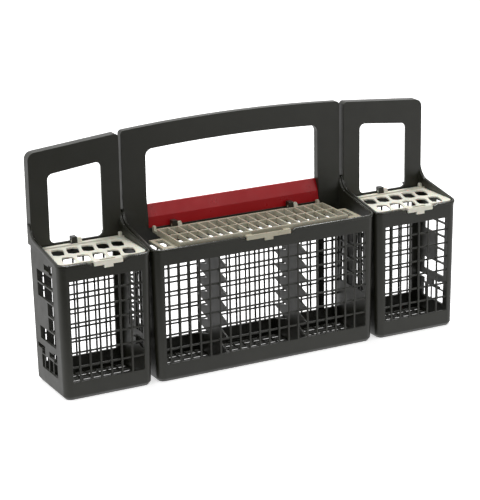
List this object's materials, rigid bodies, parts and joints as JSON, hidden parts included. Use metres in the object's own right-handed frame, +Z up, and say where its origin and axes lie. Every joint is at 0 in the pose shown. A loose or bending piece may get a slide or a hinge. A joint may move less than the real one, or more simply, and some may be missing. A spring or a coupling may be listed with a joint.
{
  "type": "dishwasher cutlery basket",
  "caption": "Long dishwasher cutlery basket with lattice walls, tall loop handles, detachable end baskets and hinged pale grids that hold the cutlery upright.",
  "frame": {"origin": "on the standing surface, below the middle of the whole row of baskets", "axes": "+X along the row of baskets to the right, +Y to the back where the handles stand, +Z up"},
  "size_m": [0.455, 0.0826, 0.249],
  "materials": {
    "basket_plastic": "satin",
    "end_lid_plastic": "satin",
    "middle_lid_plastic": "satin",
    "rail_plastic": "semi-gloss"
  },
  "bodies": {
    "centre_basket": {"centre_basket": "basket_plastic", "red_rail": "rail_plastic"},
    "left_basket": {"left_basket": "basket_plastic"},
    "right_basket": {"right_basket": "basket_plastic"},
    "centre_lid": {"centre_lid": "middle_lid_plastic"},
    "left_lid": {"left_lid": "end_lid_plastic"},
    "right_lid": {"right_lid": "end_lid_plastic"}
  },
  "joints": [
    {"name": "centre_lid_hinge", "type": "hinge", "parent": "centre_basket", "child": "centre_lid", "pos_m": [0, 0.02725, 0.141], "axis": [-1, 0, 0], "range_deg": [0, 93]},
    {"name": "left_basket_slide", "type": "slide", "parent": "centre_basket", "child": "left_basket", "axis": [0, 1, 0], "range_m": [0, 0.0125]},
    {"name": "right_basket_slide", "type": "slide", "parent": "centre_basket", "child": "right_basket", "axis": [0, 1, 0], "range_m": [0, 0.0125]},
    {"name": "left_lid_hinge", "type": "hinge", "parent": "left_basket", "child": "left_lid", "pos_m": [-0.17825, 0.02725, 0.141], "axis": [-1, 0, 0], "range_deg": [0, 93]},
    {"name": "right_lid_hinge", "type": "hinge", "parent": "right_basket", "child": "right_lid", "pos_m": [0.17825, 0.02725, 0.141], "axis": [-1, 0, 0], "range_deg": [0, 93]}
  ]
}
